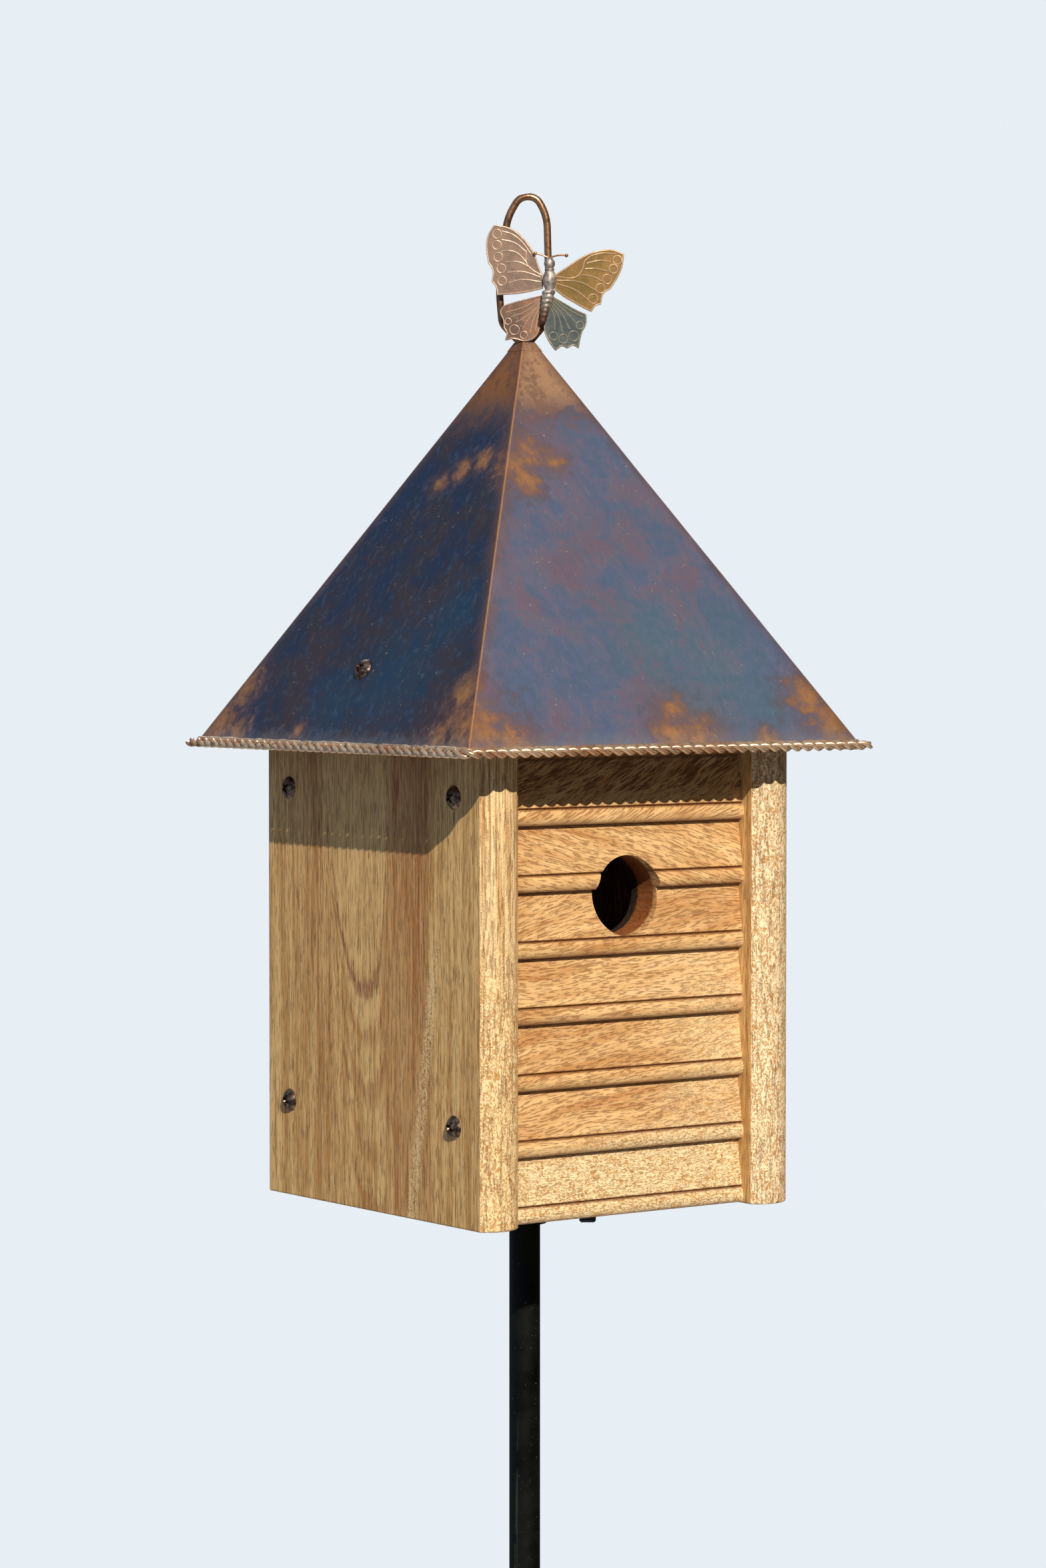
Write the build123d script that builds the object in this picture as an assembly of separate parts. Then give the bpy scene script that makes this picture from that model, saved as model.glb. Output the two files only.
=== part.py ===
from build123d import *
import os
from math import cos, sin, sqrt, tan, radians

# Copper-roofed nest box on a sectional garden pole.  Millimetres, +Z up.
# The origin is on the pole's axis at ground level, where the ground spike leaves its hub.
# The entry hole faces -Y.

# Pole and ground base
pole_od = 15.0
pole_wall = 1.2
section_length = 300.0          # exposed length of the lower and middle sections
spigot_length = 32.0            # swaged end that enters the next section
spigot_gap = 0.15               # radial gap of a swaged joint
hub_side = 36.0
hub_height = 8.0
spike_d = 12.0
spike_length = 150.0            # round part, below the ground line
point_length = 30.0
stud_d = 8.0
stud_length = 14.0
prong_d = 7.0
prong_reach = 60.0
prong_bend = 12.0

# Nest box
box_base = 900.0                # underside of the side boards above the ground
box_width = 180.4
box_depth = 178.2               # to the arrises; the front edges swell further
side_thick = 21.6
side_height = 238.0
side_swell = 4.7                # bullnose on the front edge of each side board
side_back_round = 1.5
board_edge_round = 1.0
inner_width = box_width - 2 * side_thick
front_face = -box_depth / 2     # front arrises of the side boards
front_inner = -60.0
front_base = 0.6
bead_recess = 5.6
lap_recess = 10.2
bead_height = 7.0
course_pitch = 30.6
course_count = 7
hole_d = 38.1
hole_z = 150.1
back_inner = 62.0
back_thick = 19.0
gable_height = 290.0            # front and back boards stand up inside the roof
floor_base = 6.0
floor_thick = 19.0
drain_corner = 9.0

# Fasteners
side_screw_head_d = 11.2
side_screw_head_h = 3.0
side_screw_d = 4.2
side_screw_length = 38.0
side_screw_levels = (46.2, 197.8)
side_screw_rows = (front_face + 20.4, -front_face - 19.4)
roof_screw_level = 33.8         # above the eaves
roof_screw_length = 18.0
pilot_gap = 0.1

# Flange under the floor and its set screw
flange_d = 64.0
flange_thick = 3.0
neck_od = 21.0
neck_base = -13.0
swivel_gap = 0.05               # radial running clearance on the pole
flange_pcd = 48.0
flange_screw_d = 4.0
flange_screw_length = 14.0
flange_screw_head_d = 8.0
flange_screw_head_h = 2.4
set_screw_d = 5.0
set_screw_level = -7.0
knob_d = 12.0
knob_length = 8.0
knob_start = 26.5
knob_ribs = 18

# Roof
eave_z = 222.0
roof_half = 113.5               # half width of the sheet at the eaves
roof_slope = 60.0
sheet = 1.0
roof_cut_z = 408.0
eave_drop = 0.8                 # the sheet runs on down to meet the rope
seat_gap = 0.4                  # roof sheet to the bevelled boards
cleat_base = side_height + 0.1
cleat_top = 262.0
cleat_half_length = 80.0
cleat_inner = inner_width / 2 + 0.5
rope_d = 4.7
rope_half = 115.6
rope_z = 219.3
rope_overhang = 6.0
rope_corner = 4.0

# Hanger loop and butterfly, drawn in an upright plane that faces the left front corner
ornament_turn = -36.0
rod_d = 3.5
leg_spacing = 3.6
cap_height = 4.3
wing_thick = 0.8
hind_offset = 2.0
fore_offset = 3.1
body_offset = 5.6


def at_box(z):
    return box_base + z


def square_frustum(half_low, z_low, z_high):
    # Square pyramid with the roof's slope, cut off flat at z_high.
    half_high = half_low - (z_high - z_low) / tan(radians(roof_slope))
    low = Plane.XY.offset(z_low) * Rectangle(2 * half_low, 2 * half_low)
    high = Plane.XY.offset(z_high) * Rectangle(2 * half_high, 2 * half_high)
    return loft([low, high])


def roof_half_at(z):
    # Half width of the sheet's outer face at a height above the box's underside.
    return roof_half - (z - eave_z) / tan(radians(roof_slope))


sheet_run = sheet / sin(radians(roof_slope))     # the sheet's thickness measured level


def phillips_cut(top, size):
    # Cross recess, cut downwards from a head whose crown is at z = top.
    bar = Box(size, size * 0.22, 1.8, align=(Align.CENTER, Align.CENTER, Align.MAX))
    cross = bar + Rot(0, 0, 90) * bar
    well = Cone(size * 0.12, size * 0.28, 2.4, align=(Align.CENTER, Align.CENTER, Align.MAX))
    return Pos(0, 0, top) * (cross + well)


def domed_screw(head_d, head_h, shank_d, length):
    # Seat at z = 0, dome above it, shank with a point below it.
    dome = RadiusArc((head_d / 2, 0), (0, head_h), -(head_d ** 2 / 4 + head_h ** 2) / (2 * head_h))
    flank = Polyline((0, head_h), (0, -length), (shank_d / 2, -length + shank_d), (shank_d / 2, 0),
                     (head_d / 2, 0))
    profile = make_face(Plane.XZ * (dome + flank))
    screw = revolve(profile, Axis.Z)
    return screw - phillips_cut(head_h + 0.01, head_d * 0.5)


def side_board(side):
    # side is -1 for the left board and 1 for the right one.
    half, face, back = side_thick / 2, front_face, -front_face
    swell = ThreePointArc((-half, face), (0, face - side_swell), (half, face))
    outline = swell + Polyline((half, face), (half, back), (-half, back), (-half, face))
    board = extrude(make_face(outline), side_height)
    rear = board.faces().sort_by(Axis.Y)[-1].edges().filter_by(Axis.Z)
    board = fillet(rear, side_back_round)
    board = fillet(board.faces().sort_by(Axis.Z)[0].edges(), board_edge_round)
    board = Pos(side * (box_width - side_thick) / 2, 0, at_box(0)) * board
    for y in side_screw_rows:
        for z in side_screw_levels:
            hole = Rot(0, 90, 0) * Cylinder(side_screw_d / 2 + pilot_gap, side_thick + 2)
            board -= Pos(side * (box_width - side_thick) / 2, y, at_box(z)) * hole
    return board


def side_screws(side):
    screws = []
    for y in side_screw_rows:
        for z in side_screw_levels:
            screw = domed_screw(side_screw_head_d, side_screw_head_h, side_screw_d, side_screw_length)
            seat = Plane((side * box_width / 2, y, at_box(z)), z_dir=(side, 0, 0))
            screws.append(seat.location * Rot(0, 0, 17 * z) * screw)
    return Compound(children=screws)


def screw_pilots(side):
    # Pilot holes in the edges of the front and back boards.
    depth = side_screw_length - side_thick + 1
    pilots = []
    for y in side_screw_rows:
        for z in side_screw_levels:
            pilot = Rot(0, 90, 0) * Cylinder(side_screw_d / 2 + pilot_gap, depth)
            pilots.append(Pos(side * (inner_width - depth) / 2, y, at_box(z)) * pilot)
    return pilots


def lap_profile():
    # Section of the front board, drawn as (y, z).  Each course has a bead along its lower edge,
    # a quirk above the bead, and a face that leans back to the foot of the next course.
    face = Line((front_inner, front_base), (front_face + bead_recess + 1.8, front_base))
    lines = [face]
    for course in range(course_count):
        foot = front_base + course * course_pitch
        nose = front_face + bead_recess
        top = (nose + 1.4, foot + bead_height)
        quirk = (nose + 2.6, foot + bead_height + 0.6)
        shelf = (nose + 1.2, foot + bead_height + 1.4)
        crown = (front_face + lap_recess, foot + course_pitch)
        lines.append(ThreePointArc((nose + 1.8, foot), (nose, foot + bead_height * 0.5), top))
        lines.append(Polyline(top, quirk, shelf, crown))
        if course < course_count - 1:
            lines.append(Line(crown, (nose + 1.8, foot + course_pitch)))
    lines.append(Polyline(crown, (front_face + lap_recess, gable_height), (front_inner, gable_height),
                          (front_inner, front_base)))
    return make_face(Plane.YZ * Curve(lines))


def gable_trim():
    # Everything under the roof sheet, less the seating gap.
    half = roof_half_at(0) - sheet_run - seat_gap
    return Pos(0, 0, box_base) * square_frustum(half, 0, gable_height + 1)


def front_board():
    board = extrude(lap_profile(), inner_width / 2, both=True)
    board = Pos(0, 0, box_base) * board
    hole = Rot(90, 0, 0) * Cylinder(hole_d / 2, 60)
    board -= Pos(0, front_inner, at_box(hole_z)) * hole
    for side in (-1, 1):
        for pilot in screw_pilots(side):
            board -= pilot
    return board & gable_trim()


def back_board():
    board = Box(inner_width, back_thick, gable_height - front_base,
                align=(Align.CENTER, Align.MIN, Align.MIN))
    board = Pos(0, back_inner, at_box(front_base)) * board
    for side in (-1, 1):
        for pilot in screw_pilots(side):
            board -= pilot
    return board & gable_trim()


def flange_screw_places():
    return [Rot(0, 0, 45 + 90 * turn) * Pos(flange_pcd / 2, 0, 0) for turn in range(4)]


def floor_board():
    depth = back_inner - front_inner
    board = Box(inner_width, depth, floor_thick, align=(Align.CENTER, Align.CENTER, Align.MIN))
    board = chamfer(board.edges().filter_by(Axis.Z), drain_corner)
    board = Pos(0, (back_inner + front_inner) / 2, at_box(floor_base)) * board
    pilot = Cylinder(flange_screw_d / 2 + pilot_gap, flange_screw_length,
                     align=(Align.CENTER, Align.CENTER, Align.MIN))
    for place in flange_screw_places():
        board -= Pos(0, 0, at_box(floor_base - 1)) * place * pilot
    return board


set_screw_axis = Plane((0, 0, at_box(set_screw_level)),
                       z_dir=(cos(radians(ornament_turn)), sin(radians(ornament_turn)), 0))


def pole_flange():
    plate = Cylinder(flange_d / 2, flange_thick, align=(Align.CENTER, Align.CENTER, Align.MAX))
    plate = fillet(plate.faces().sort_by(Axis.Z)[0].edges(), 1.0)
    neck = Cylinder(neck_od / 2, floor_base - neck_base, align=(Align.CENTER, Align.CENTER, Align.MAX))
    flange = Pos(0, 0, at_box(floor_base)) * (plate + neck)
    flange -= Pos(0, 0, at_box(0)) * Cylinder(pole_od / 2 + swivel_gap, 60)
    for place in flange_screw_places():
        flange -= Pos(0, 0, at_box(floor_base)) * place * Cylinder(flange_screw_d / 2 + 0.2, 10)
    tapped = Cylinder(set_screw_d / 2 + swivel_gap, neck_od,
                      align=(Align.CENTER, Align.CENTER, Align.MIN))
    return flange - set_screw_axis.location * tapped


def flange_screws():
    screws = []
    for place in flange_screw_places():
        screw = domed_screw(flange_screw_head_d, flange_screw_head_h, flange_screw_d,
                            flange_screw_length)
        screws.append(Pos(0, 0, at_box(floor_base - flange_thick)) * place * Rot(180, 0, 0) * screw)
    return Compound(children=screws)


def set_screw():
    start = pole_od / 2 + swivel_gap
    shank = Pos(0, 0, start) * Cylinder(set_screw_d / 2, knob_start - start + 1,
                                        align=(Align.CENTER, Align.CENTER, Align.MIN))
    knob = Cylinder(knob_d / 2, knob_length, align=(Align.CENTER, Align.CENTER, Align.MIN))
    knob = chamfer(knob.edges(), 0.8)
    groove = Cylinder(0.7, knob_length + 1, align=(Align.CENTER, Align.CENTER, Align.MIN))
    for rib in range(knob_ribs):
        knob -= Rot(0, 0, 360 * rib / knob_ribs) * Pos(knob_d / 2 + 0.3, 0, -0.5) * groove
    return set_screw_axis.location * (shank + Pos(0, 0, knob_start) * knob)


def pole_section(z_low, z_high, swaged):
    tube = Cylinder(pole_od / 2, z_high - z_low, align=(Align.CENTER, Align.CENTER, Align.MIN))
    inner_r = pole_od / 2 - pole_wall
    tube -= Cylinder(inner_r, z_high - z_low, align=(Align.CENTER, Align.CENTER, Align.MIN))
    if swaged:
        end_r = inner_r - spigot_gap
        height = z_high - z_low
        end = Cylinder(end_r, spigot_length + 10, align=(Align.CENTER, Align.CENTER, Align.MIN))
        end = Pos(0, 0, height - 10) * chamfer(end.faces().sort_by(Axis.Z)[-1].edges(), 0.8)
        shoulder = Cylinder(inner_r, 10, align=(Align.CENTER, Align.CENTER, Align.MAX))
        end += Pos(0, 0, height) * shoulder
        bore = Cylinder(end_r - pole_wall, spigot_length + 30,
                        align=(Align.CENTER, Align.CENTER, Align.MIN))
        tube = tube + end - Pos(0, 0, height - 20) * bore
    return Pos(0, 0, z_low) * tube


def ground_hub():
    block = Box(hub_side, hub_side, hub_height, align=(Align.CENTER, Align.CENTER, Align.MIN))
    block = fillet(block.edges().filter_by(Axis.Z), 5)
    block = chamfer(block.faces().sort_by(Axis.Z)[-1].edges(), 0.8)
    spigot_r = pole_od / 2 - pole_wall - spigot_gap
    spigot = Cylinder(spigot_r, spigot_length, align=(Align.CENTER, Align.CENTER, Align.MIN))
    spigot = chamfer(spigot.faces().sort_by(Axis.Z)[-1].edges(), 0.8)
    blind = Cylinder(stud_d / 2 + pilot_gap, stud_length + 1, align=(Align.CENTER, Align.CENTER, Align.MIN))
    return block + Pos(0, 0, hub_height) * spigot - blind


def ground_spike():
    outline = Polyline((0, stud_length), (stud_d / 2, stud_length), (stud_d / 2, 0), (spike_d / 2, 0),
                       (spike_d / 2, -spike_length), (0.6, -spike_length - point_length),
                       (0, -spike_length - point_length), (0, stud_length))
    return revolve(make_face(Plane.XZ * outline), Axis.Z)


def ground_prongs():
    tip_z = -spike_length - point_length
    prongs = []
    for turn in range(4):
        route = FilletPolyline((hub_side / 2, 0, hub_height / 2), (prong_reach, 0, hub_height / 2),
                               (prong_reach, 0, tip_z + 2 * prong_d), radius=prong_bend)
        rod = sweep(Plane(route @ 0, z_dir=route % 0) * Circle(prong_d / 2), path=route)
        point = Cone(prong_d / 2, 0.6, 2 * prong_d, align=(Align.CENTER, Align.CENTER, Align.MIN))
        rod += Pos(prong_reach, 0, tip_z + 2 * prong_d) * Rot(180, 0, 0) * point
        prongs.append(Rot(0, 0, 90 * turn) * rod)
    return Compound(children=prongs)


def roof_screw_seats():
    half = roof_half_at(eave_z + roof_screw_level)
    lean = radians(roof_slope)
    return [Plane((side * half, 0, at_box(eave_z + roof_screw_level)),
                  z_dir=(side * sin(lean), 0, cos(lean))) for side in (-1, 1)]


def roof_shell():
    low = eave_z - eave_drop
    outer = square_frustum(roof_half_at(low), low, roof_cut_z)
    inner = square_frustum(roof_half_at(low) - sheet_run + 1, low - tan(radians(roof_slope)), roof_cut_z + 1)
    shell = Pos(0, 0, box_base) * (outer - inner)
    for seat in roof_screw_seats():
        shell -= seat.location * Cylinder(side_screw_d / 2 + 0.2, 8)
    return shell


def roof_cleat(side):
    # Rail on top of a side board, bevelled to the slope, that takes the roof screw.
    low_x = roof_half_at(cleat_base) - sheet_run - 0.05
    high_x = roof_half_at(cleat_top) - sheet_run - 0.05
    outline = Polyline((cleat_inner, cleat_base), (low_x, cleat_base), (high_x, cleat_top),
                       (cleat_inner, cleat_top), (cleat_inner, cleat_base))
    cleat = extrude(make_face(Plane.XZ * outline), cleat_half_length, both=True)
    if side < 0:
        cleat = mirror(cleat, Plane.YZ)
    cleat = Pos(0, 0, box_base) * cleat
    for seat in roof_screw_seats():
        cleat -= seat.location * Cylinder(side_screw_d / 2 + pilot_gap, 2 * roof_screw_length + 2)
    return cleat


def roof_screws():
    screw = domed_screw(side_screw_head_d, side_screw_head_h, side_screw_d, roof_screw_length)
    return Compound(children=[seat.location * Rot(0, 0, 20) * screw for seat in roof_screw_seats()])


def eave_rope(start, corner, end):
    route = FilletPolyline(start, corner, end, radius=rope_corner)
    rope = sweep(Plane(route @ 0, z_dir=route % 0) * Circle(rope_d / 2), path=route)
    tips = [edge for edge in rope.edges().filter_by(GeomType.CIRCLE)
            if min((edge.arc_center - Vector(*point)).length for point in (start, end)) < 0.01]
    return fillet(tips, 1.5)


ornament_plane = Plane((0, 0, box_base),
                       x_dir=(cos(radians(ornament_turn)), sin(radians(ornament_turn)), 0),
                       z_dir=(sin(radians(ornament_turn)), -cos(radians(ornament_turn)), 0))


def apex_cap():
    # Solid tip that carries the pyramid on above the cut and holds the loop's legs.
    cap = square_frustum(roof_half_at(roof_cut_z), roof_cut_z, roof_cut_z + cap_height)
    return Pos(0, 0, box_base) * cap - hanger_loop()


# Corners of the loop's centre line in the ornament plane, and the bend at each.
loop_corners = [(-leg_spacing / 2, 402.0), (-leg_spacing / 2, 411.8), (-10.9, 421.4), (-12.3, 437.0),
                (-8.4, 472.0), (-2.4, 482.2), (5.4, 482.2), (10.7, 473.4), (11.6, 440.0), (10.4, 422.0),
                (leg_spacing / 2, 411.8), (leg_spacing / 2, 402.0)]
loop_bends = [4.0, 7.0, 60.0, 26.0, 6.7, 6.4, 24.0, 60.0, 7.0, 4.0]


def hanger_loop():
    route = ornament_plane * FilletPolyline(*loop_corners, radius=loop_bends)
    return sweep(Plane(route @ 0, z_dir=route % 0) * Circle(rod_d / 2), path=route)


# Butterfly: head, thorax and abdomen on one axis that leans from (11.9, 450) to (8.0, 420).
body_head = (11.8, 450.0)
body_tail = (8.0, 420.5)


def butterfly_body():
    length = sqrt((body_head[0] - body_tail[0]) ** 2 + (body_head[1] - body_tail[1]) ** 2)
    crown = (-2.2, 0.0)
    tip = (length, 0.0)
    girths = [(2.0, 2.6), (3.4, 1.6), (6.0, 3.2), (9.5, 3.3), (13.0, 2.2), (16.0, 2.7),
              (22.0, 2.4), (length - 1.5, 1.3)]
    profile = make_face(Spline(crown, *girths, tip) + Line(tip, crown))
    solid = revolve(profile, Axis.X)
    head = ornament_plane.from_local_coords(Vector(body_head[0], body_head[1], body_offset))
    tail = ornament_plane.from_local_coords(Vector(body_tail[0], body_tail[1], body_offset))
    return Plane(head, x_dir=tail - head, z_dir=ornament_plane.z_dir).location * solid


def butterfly_antennae():
    parts = []
    for bend, tip in (((15.5, 453.6), (20.0, 453.6)), ((8.4, 453.8), (5.0, 454.6))):
        root = (body_head[0] + (0.8 if tip[0] > body_head[0] else -0.8), body_head[1] + 2.6)
        route = ornament_plane * (Pos(0, 0, body_offset) * Spline(root, bend, tip))
        stalk = sweep(Plane(route @ 0, z_dir=route % 0) * Circle(0.45), path=route)
        knob = ornament_plane.from_local_coords(Vector(tip[0], tip[1], body_offset))
        parts.append(stalk + Pos(*knob) * Sphere(0.9))
    return Compound(children=parts)


# Wing outlines in the ornament plane, each a list of runs that meet in corners and cusps.
wing_outlines = {
    "left_forewing": (fore_offset, [
        [(8.8, 443.6), (7.1, 447.6), (4.5, 454.7), (0.0, 461.2), (-6.5, 466.4), (-11.7, 467.9),
         (-14.9, 468.0)],
        [(-14.9, 468.0), (-17.8, 462.5), (-18.3, 456.7), (-17.5, 450.2)],
        [(-17.5, 450.2), (-15.4, 446.6), (-15.7, 441.2)],
        [(-15.7, 441.2), (-13.6, 438.2), (-13.0, 434.7)],
        [(-13.0, 434.7), (-10.4, 434.9), (-1.3, 435.7), (8.8, 438.0)]]),
    "right_forewing": (fore_offset, [
        [(14.6, 444.4), (20.2, 448.1), (26.0, 452.0), (31.2, 454.6), (37.6, 456.2), (42.8, 456.2),
         (47.5, 454.2)],
        [(47.5, 454.2), (46.6, 448.1), (43.8, 441.9), (41.2, 437.8)],
        [(41.2, 437.8), (37.8, 435.4), (36.3, 430.2)],
        [(36.3, 430.2), (34.0, 429.6), (31.9, 426.8)],
        [(31.9, 426.8), (27.9, 428.7), (23.4, 431.3), (18.9, 433.9), (14.4, 437.6)]]),
    "left_hindwing": (hind_offset, [
        [(8.6, 434.9), (2.1, 433.2), (-4.4, 431.6), (-10.2, 429.7)],
        [(-10.2, 429.7), (-11.8, 427.0), (-10.4, 423.0), (-10.0, 419.0)],
        [(-10.0, 419.0), (-8.6, 416.4), (-9.3, 413.2)],
        [(-9.3, 413.2), (-6.3, 413.9), (-3.4, 413.4), (-0.8, 412.7)],
        [(-0.8, 412.7), (2.2, 413.0), (5.0, 414.6), (6.9, 417.7), (7.6, 421.6), (8.6, 427.0)]]),
    "right_hindwing": (hind_offset, [
        [(12.4, 434.6), (18.9, 431.0), (24.7, 427.7), (29.5, 425.5)],
        [(29.5, 425.5), (29.4, 421.0), (27.6, 417.3)],
        [(27.6, 417.3), (26.6, 413.6), (25.9, 409.5)],
        [(25.9, 409.5), (23.6, 410.7), (20.4, 409.4)],
        [(20.4, 409.4), (18.0, 410.4), (14.7, 408.4)],
        [(14.7, 408.4), (12.0, 412.0), (10.0, 415.8), (9.3, 419.7), (10.0, 424.0), (11.6, 428.6)]]),
}


def wing(name, body):
    offset, runs = wing_outlines[name]
    edges = [Spline(*run) for run in runs]
    face = make_face(edges + [Line(runs[-1][-1], runs[0][0])])
    plate = extrude(ornament_plane * Pos(0, 0, offset) * face, wing_thick)
    return plate - body


def build():
    top = at_box(floor_base) - 0.3
    first = hub_height + section_length
    second = first + section_length
    body = butterfly_body()
    end = rope_half + rope_overhang
    inside = rope_half - rope_d / 2 - 0.25
    rope_level = at_box(rope_z)
    nodes = {
        "ground_hub": ground_hub(),
        "ground_spike": ground_spike(),
        "ground_prongs": ground_prongs(),
        "pole_lower": pole_section(hub_height, first, True),
        "pole_middle": pole_section(first, second, True),
        "pole_upper": pole_section(second, top, False),
        "pole_flange": pole_flange(),
        "flange_screws": flange_screws(),
        "set_screw": set_screw(),
        "floor_board": floor_board(),
        "left_side_board": side_board(-1),
        "right_side_board": side_board(1),
        "front_board": front_board(),
        "back_board": back_board(),
        "left_side_screws": side_screws(-1),
        "right_side_screws": side_screws(1),
        "roof_shell": roof_shell(),
        "left_roof_cleat": roof_cleat(-1),
        "right_roof_cleat": roof_cleat(1),
        "roof_screws": roof_screws(),
        "front_eave_rope": eave_rope((-rope_half, end, rope_level), (-rope_half, -rope_half, rope_level),
                                     (end, -rope_half, rope_level)),
        "back_eave_rope": eave_rope((rope_half, -inside, rope_level), (rope_half, rope_half, rope_level),
                                    (-inside, rope_half, rope_level)),
        "apex_cap": apex_cap(),
        "hanger_loop": hanger_loop(),
        "butterfly_body": body,
        "butterfly_antennae": butterfly_antennae(),
    }
    for name in wing_outlines:
        nodes[name] = wing(name, body)
    return nodes


os.makedirs("parts", exist_ok=True)
for node, shape in build().items():
    export_step(shape, "parts/" + node + ".step")
    print(node, round(shape.volume), "mm3")
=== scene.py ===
import bpy
import bmesh
from math import cos, sin, tan, pi, radians, sqrt
from mathutils import Matrix, Vector, noise


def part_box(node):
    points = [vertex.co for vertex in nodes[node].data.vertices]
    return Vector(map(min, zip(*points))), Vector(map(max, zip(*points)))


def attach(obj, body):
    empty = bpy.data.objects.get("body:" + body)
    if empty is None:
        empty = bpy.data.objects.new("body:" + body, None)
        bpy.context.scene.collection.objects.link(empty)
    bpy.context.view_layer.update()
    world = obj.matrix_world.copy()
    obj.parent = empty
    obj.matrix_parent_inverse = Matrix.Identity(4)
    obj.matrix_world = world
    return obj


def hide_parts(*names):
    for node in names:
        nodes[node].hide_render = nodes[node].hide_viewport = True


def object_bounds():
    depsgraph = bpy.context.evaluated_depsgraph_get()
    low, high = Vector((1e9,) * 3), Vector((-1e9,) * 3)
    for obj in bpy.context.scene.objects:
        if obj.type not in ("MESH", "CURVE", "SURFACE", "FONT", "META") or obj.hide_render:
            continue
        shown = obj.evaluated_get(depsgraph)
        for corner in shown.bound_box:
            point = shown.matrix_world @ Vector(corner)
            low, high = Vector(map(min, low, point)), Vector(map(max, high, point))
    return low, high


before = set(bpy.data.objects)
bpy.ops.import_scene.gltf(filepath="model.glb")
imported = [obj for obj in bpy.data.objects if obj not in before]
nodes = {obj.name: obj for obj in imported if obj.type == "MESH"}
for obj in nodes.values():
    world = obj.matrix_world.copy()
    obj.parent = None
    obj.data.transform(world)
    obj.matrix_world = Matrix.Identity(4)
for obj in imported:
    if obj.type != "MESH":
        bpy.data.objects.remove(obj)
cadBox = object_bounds()
mm = 0.001
print("frame loaded:", len(nodes), "nodes")

# places that several pieces share, worked out from the frame
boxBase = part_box("left_side_board")[0].z
roofLow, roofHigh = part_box("roof_shell")
eaveHalf = roofHigh.x
eaveZ = roofLow.z
cutZ = roofHigh.z
roofSlope = radians(60)
cutHalf = eaveHalf - (cutZ - eaveZ) / tan(roofSlope)
boxDepth = 178.2 * mm
frontArris = -boxDepth / 2


# camera, light, floor
cameraSet = {"place": (-1.19713, -1.64511, 1.17918), "azimuth": -36.02, "elevation": 2.235,
             "lens": 96.76}
lightSet = {
    "sunAzimuth": -22, "sunElevation": 33.3, "sunAngle": 0.5, "sunPower": 4.4,
    "sunColor": (1.0, 0.93, 0.82),
    "skyColor": (0.62, 0.78, 1.0), "groundColor": (0.16, 0.15, 0.12), "skyPower": 0.32,
    "backdrop": (0.80, 0.86, 0.91), "skySide": (-0.75, 0.45, 0.55), "skyFrom": -0.35, "skyTo": 0.75,
    "rimAzimuth": 150, "rimElevation": 35, "rimAngle": 12, "rimPower": 1.1,
    "rimColor": (0.86, 0.93, 1.0),
}
floorSet = {"radius": 2.2, "fadeFrom": 0.5, "color": (0.66, 0.66, 0.65)}


def makeCamera(settings):
    data = bpy.data.cameras.new("camera")
    data.lens = settings["lens"]
    camera = bpy.data.objects.new("camera", data)
    camera.location = settings["place"]
    camera.rotation_euler = (radians(90 - settings["elevation"]), 0, radians(settings["azimuth"]))
    data.clip_end = 60
    bpy.context.scene.collection.objects.link(camera)
    bpy.context.scene.camera = camera


def makeSun(name, settings):
    data = bpy.data.lights.new(name, "SUN")
    data.energy = settings[name + "Power"]
    data.color = settings[name + "Color"]
    data.angle = radians(settings[name + "Angle"])
    sun = bpy.data.objects.new(name, data)
    tilt = radians(90 - settings[name + "Elevation"])
    sun.rotation_euler = (tilt, 0, radians(settings[name + "Azimuth"]))
    bpy.context.scene.collection.objects.link(sun)


def makeWorld(settings):
    world = bpy.data.worlds.new("studio")
    bpy.context.scene.world = world
    world.use_nodes = True
    tree = world.node_tree
    tree.nodes.clear()
    spot = tree.nodes.new("ShaderNodeTexCoord")
    toSky = tree.nodes.new("ShaderNodeVectorMath")
    toSky.operation = "DOT_PRODUCT"
    toSky.inputs[1].default_value = Vector(settings["skySide"]).normalized()
    tree.links.new(spot.outputs["Generated"], toSky.inputs[0])
    rise = tree.nodes.new("ShaderNodeMapRange")
    rise.inputs["From Min"].default_value = settings["skyFrom"]
    rise.inputs["From Max"].default_value = settings["skyTo"]
    tree.links.new(toSky.outputs["Value"], rise.inputs["Value"])
    blend = tree.nodes.new("ShaderNodeMix")
    blend.data_type = "RGBA"
    blend.inputs[6].default_value = (*settings["groundColor"], 1)
    blend.inputs[7].default_value = (*settings["skyColor"], 1)
    tree.links.new(rise.outputs[0], blend.inputs[0])
    fill = tree.nodes.new("ShaderNodeBackground")
    fill.inputs["Strength"].default_value = settings["skyPower"]
    tree.links.new(blend.outputs[2], fill.inputs["Color"])
    seen = tree.nodes.new("ShaderNodeBackground")
    seen.inputs["Color"].default_value = (*settings["backdrop"], 1)
    path = tree.nodes.new("ShaderNodeLightPath")
    choose = tree.nodes.new("ShaderNodeMixShader")
    tree.links.new(path.outputs["Is Camera Ray"], choose.inputs[0])
    tree.links.new(fill.outputs[0], choose.inputs[1])
    tree.links.new(seen.outputs[0], choose.inputs[2])
    out = tree.nodes.new("ShaderNodeOutputWorld")
    tree.links.new(choose.outputs[0], out.inputs["Surface"])


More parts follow.
